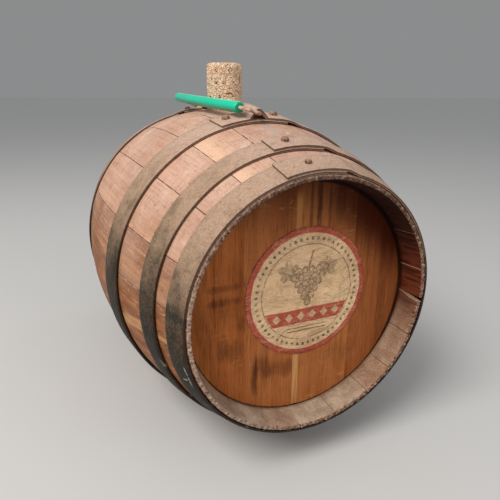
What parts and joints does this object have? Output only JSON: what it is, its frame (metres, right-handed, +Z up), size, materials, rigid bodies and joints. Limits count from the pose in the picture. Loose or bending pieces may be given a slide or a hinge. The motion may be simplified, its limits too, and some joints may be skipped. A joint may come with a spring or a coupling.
{
  "type": "small wooden cask",
  "caption": "Small wooden cask lying on its side, with riveted steel strap hoops, a bung cork on top and a wire bail with a tube grip.",
  "frame": {"origin": "on the ground under the middle of the cask, where its belly rests", "axes": "+Y along the cask's axis from the front head to the rear head, +Z up through the bung"},
  "size_m": [0.202, 0.278, 0.2332],
  "materials": {
    "stave_wood": "bare and dusty, worn smooth",
    "head_wood": "oiled, satin",
    "inlay_wood": "bare",
    "dowel_wood": "bare",
    "label_paper": "matt, aged",
    "hoop_steel": "dull, rusted and dusty",
    "rivet_steel": "dull, rusted",
    "bung_cork": "agglomerated, matt",
    "bail_steel": "dull, lightly rusted",
    "grip_plastic": "glossy green tube"
  },
  "bodies": {
    "cask": {"bung_stave": "stave_wood", "stave_02": "stave_wood", "stave_03": "stave_wood", "stave_04": "stave_wood", "stave_05": "stave_wood", "stave_06": "stave_wood", "stave_07": "stave_wood", "stave_08": "stave_wood", "stave_09": "stave_wood", "stave_10": "stave_wood", "stave_11": "stave_wood", "stave_12": "stave_wood", "stave_13": "stave_wood", "stave_14": "stave_wood", "stave_15": "stave_wood", "stave_16": "stave_wood", "stave_17": "stave_wood", "stave_18": "stave_wood", "stave_19": "stave_wood", "front_head_board_1": "head_wood", "front_head_board_2": "head_wood", "front_head_board_3": "head_wood", "front_head_board_4": "head_wood", "rear_head_board_1": "head_wood", "rear_head_board_2": "head_wood", "rear_head_board_3": "head_wood", "rear_head_board_4": "head_wood", "front_head_dowels": "dowel_wood", "rear_head_dowels": "dowel_wood", "front_head_inlay": "inlay_wood", "head_label": "label_paper", "front_chime_hoop": "hoop_steel", "front_quarter_hoop": "hoop_steel", "front_bilge_hoop": "hoop_steel", "rear_chime_hoop": "hoop_steel", "rear_quarter_hoop": "hoop_steel", "rear_bilge_hoop": "hoop_steel", "hoop_rivets": "rivet_steel"},
    "cork": {"bung_cork": "bung_cork"},
    "bail": {"bail_wire": "bail_steel", "bail_grip": "grip_plastic"}
  },
  "joints": [
    {"name": "bung_lift", "type": "slide", "parent": "cask", "child": "cork", "axis": [0, 0, 1], "range_m": [0, 0.06]},
    {"name": "bail_swing", "type": "hinge", "parent": "cask", "child": "bail", "pos_m": [0, 0, 0.20141], "axis": [0.0606, 0.9982, 0], "range_deg": [-4, 17]}
  ]
}
